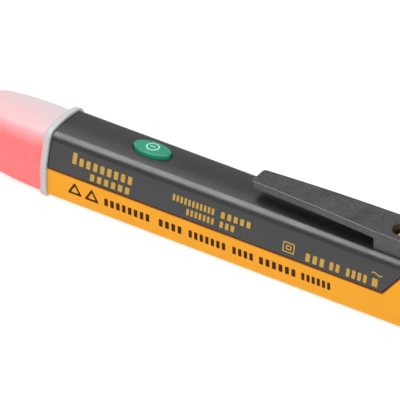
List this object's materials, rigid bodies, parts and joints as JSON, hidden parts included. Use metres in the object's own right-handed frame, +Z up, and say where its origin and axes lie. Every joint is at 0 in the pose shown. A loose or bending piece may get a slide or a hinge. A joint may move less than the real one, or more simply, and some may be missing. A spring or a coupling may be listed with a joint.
{
  "type": "non contact voltage tester",
  "caption": "Pen-type non-contact voltage tester: glowing blade nib, two-part housing, oval push button, pocket clip on a pull-off latched tail cap, cells and board inside.",
  "frame": {"origin": "on the surface that the tester lies on, centred under its length and width", "axes": "+X along the body from the nib's tip to the tail cap, +Z up through the button and the clip, +Y across"},
  "size_m": [0.149, 0.0198, 0.0237],
  "materials": {
    "dark_plastic": "fine moulded texture, semi-matt",
    "yellow_plastic": "satin",
    "nib_plastic": "frosted translucent, lit red from inside",
    "green_plastic": "satin",
    "brass": "rolled sheet",
    "led_red": "clear cast resin",
    "white_plastic": "moulded",
    "board_green": "solder resist",
    "black_plastic": "moulded",
    "capacitor_tan": "moulded",
    "nickel": "nickel plated",
    "cell_jacket": "printed jacket, plain",
    "seal_rubber": "moulded"
  },
  "bodies": {
    "housing": {"lower_housing": "yellow_plastic", "upper_housing": "dark_plastic", "probe_nib": "nib_plastic", "sensor_antenna": "brass", "glow_led_left": "led_red", "glow_led_right": "led_red", "led_holder": "white_plastic", "circuit_board": "board_green", "detector_chip": "black_plastic", "filter_capacitor": "capacitor_tan", "timing_resistor": "black_plastic", "buzzer": "black_plastic", "switch_body": "black_plastic", "front_contact": "nickel", "return_strip": "nickel"},
    "button": {"power_button": "green_plastic"},
    "plunger": {"switch_plunger": "white_plastic"},
    "cap": {"tail_cap": "dark_plastic", "cap_seal": "seal_rubber", "tail_contact": "nickel", "tail_spring": "nickel"},
    "clip": {"clip_arm": "dark_plastic"},
    "latch": {"latch_tongue": "yellow_plastic"},
    "front_cell": {"battery_front": "cell_jacket"},
    "rear_cell": {"battery_rear": "cell_jacket"}
  },
  "joints": [
    {"name": "button_press", "type": "slide", "parent": "housing", "child": "button", "axis": [0, 0, -1], "range_m": [0, 0.0005], "stiffness_N_per_m": 1500, "springref_m": -0.0004},
    {"name": "plunger_press", "type": "slide", "parent": "housing", "child": "plunger", "axis": [0, 0, -1], "range_m": [0, 0.0005]},
    {"name": "cap_pull", "type": "slide", "parent": "housing", "child": "cap", "axis": [1, 0, 0], "range_m": [0, 0.055]},
    {"name": "clip_flex", "type": "hinge", "parent": "cap", "child": "clip", "pos_m": [0.0566, 0, 0.02245], "axis": [0, 1, 0], "range_deg": [0, 8], "stiffness_Nm_per_rad": 1.5},
    {"name": "latch_flex", "type": "hinge", "parent": "housing", "child": "latch", "pos_m": [0.0686, 0, 0.018], "axis": [0, -1, 0], "range_deg": [0, 5], "stiffness_Nm_per_rad": 0.45},
    {"name": "front_cell_slide", "type": "slide", "parent": "housing", "child": "front_cell", "axis": [1, 0, 0], "range_m": [0, 0.0194]},
    {"name": "rear_cell_slide", "type": "slide", "parent": "housing", "child": "rear_cell", "axis": [1, 0, 0], "range_m": [0, 0.0386]}
  ],
  "couplings": [
    {"joint": "plunger_press", "follows": "button_press", "ratio": 1},
    {"joint": "front_cell_slide", "follows": "cap_pull", "ratio": 0.35},
    {"joint": "rear_cell_slide", "follows": "cap_pull", "ratio": 0.7}
  ]
}
